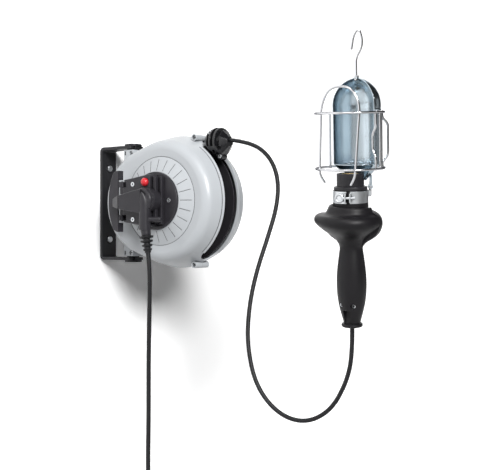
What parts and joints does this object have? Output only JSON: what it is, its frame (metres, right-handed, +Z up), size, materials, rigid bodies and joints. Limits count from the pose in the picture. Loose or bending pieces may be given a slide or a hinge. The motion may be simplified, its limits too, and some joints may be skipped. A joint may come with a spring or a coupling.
{
  "type": "cable reel with hand lamp",
  "caption": "Wall-mounted spring cable reel that swivels in a steel bracket, with a plugged-in angled connector and an inspection hand lamp in a wire guard.",
  "frame": {"origin": "middle of the bracket plate's back face, on the wall, between the two wall bolts", "axes": "+Z up, -Y out of the wall, -X towards the side with the inlet"},
  "size_m": [0.1824, 0.6104, 0.8212],
  "materials": {
    "bracket_paint": "satin black paint",
    "zinc": "zinc plated",
    "steel": "plain",
    "black_plastic": "fine grain",
    "shell": "satin, light cool grey",
    "drum_plastic": "moulded",
    "cord": "cable sheath",
    "bronze": "sintered bronze",
    "brass": "plain",
    "carbon": "carbon",
    "ball": "glossy black",
    "hub": "charcoal, fine grain",
    "button": "red",
    "insulator": "moulded insulator",
    "handle": "matte black",
    "reflector": "bright sheet",
    "chrome": "plated wire"
  },
  "bodies": {
    "bracket": {"wall_bracket": "bracket_paint", "wall_bolts": "zinc", "upper_pivot_cap": "bracket_paint", "lower_pivot_cap": "bracket_paint", "pivot_washers": "black_plastic"},
    "reel": {"near_shell": "shell", "far_shell": "shell", "shell_screws": "zinc", "main_shaft": "steel", "spring_arbor": "steel", "brush_holder": "insulator", "carbon_brushes": "carbon", "pawl_pin": "steel", "cable_outlet": "black_plastic", "roller_pin": "steel", "ball_stop_near": "ball", "ball_stop_far": "ball", "ball_screws": "zinc", "cord_lead": "cord", "work_cord": "cord", "hub_cover": "hub", "hub_screws": "zinc", "thermal_breaker": "insulator", "inlet_insert": "insulator", "inlet_pins": "brass", "lid_pin": "hub", "lamp_handle_front": "handle", "lamp_handle_back": "handle", "handle_screws": "zinc", "lampholder_sleeve": "black_plastic", "lamp_contacts": "brass", "clamp_band": "zinc", "guard_hinge_pin": "steel"},
    "drum": {"drum_near_half": "drum_plastic", "drum_far_half": "drum_plastic", "drum_screws": "zinc", "drum_bushes": "bronze", "wound_cord_inner": "cord", "wound_cord_outer": "cord", "spring_cover": "steel", "power_spring": "steel", "slip_ring_hub": "insulator", "slip_rings": "brass", "ratchet_ring": "steel"},
    "pawl": {"ratchet_pawl": "steel"},
    "roller": {"outlet_roller": "black_plastic"},
    "button": {"reset_button": "button"},
    "lid": {"inlet_lid": "hub"},
    "supply": {"connector_body": "hub", "connector_sockets": "brass", "cable_boot": "cord", "supply_lead": "cord", "supply_coil": "cord", "supply_plug": "black_plastic", "supply_plug_pins": "brass"},
    "guard": {"reflector": "reflector", "wire_guard": "chrome", "hook_nut": "zinc"},
    "hook": {"lamp_hook": "chrome"},
    "clamp_screw": {"clamp_screw": "zinc"}
  },
  "joints": [
    {"name": "swivel", "type": "hinge", "parent": "bracket", "child": "reel", "pos_m": [0, -0.0625, 0], "axis": [0, 0, 1], "range_deg": [-45, 75]},
    {"name": "drum_spin", "type": "hinge", "parent": "reel", "child": "drum", "pos_m": [0, -0.1675, 0], "axis": [1, 0, 0], "continuous": true},
    {"name": "pawl_swing", "type": "hinge", "parent": "reel", "child": "pawl", "pos_m": [-0.021, -0.1735, -0.07], "axis": [1, 0, 0], "range_deg": [0, 9]},
    {"name": "roller_spin", "type": "hinge", "parent": "reel", "child": "roller", "pos_m": [0, -0.2165, 0.08652], "axis": [1, 0, 0], "continuous": true},
    {"name": "reset_press", "type": "slide", "parent": "reel", "child": "button", "axis": [1, 0, 0], "range_m": [0, 0.002], "stiffness_N_per_m": 600},
    {"name": "lid_hinge", "type": "hinge", "parent": "reel", "child": "lid", "pos_m": [-0.078, -0.1095, 0], "axis": [0, 0, 1], "range_deg": [0, 30]},
    {"name": "connector_pull", "type": "slide", "parent": "reel", "child": "supply", "axis": [-1, 0, 0], "range_m": [0, 0.025]},
    {"name": "guard_hinge", "type": "hinge", "parent": "reel", "child": "guard", "pos_m": [-0.04381, -0.54357, 0.01244], "axis": [0.8112, 0.568, 0.1392], "range_deg": [0, 75]},
    {"name": "hook_swivel", "type": "hinge", "parent": "guard", "child": "hook", "pos_m": [-0.06789, -0.53472, 0.16051], "axis": [-0.13, -0.0569, 0.9899], "continuous": true},
    {"name": "clamp_turn", "type": "hinge", "parent": "reel", "child": "clamp_screw", "pos_m": [-0.08514, -0.53077, -0.00524], "axis": [0.357, -0.9341, -0.0068], "continuous": true}
  ]
}
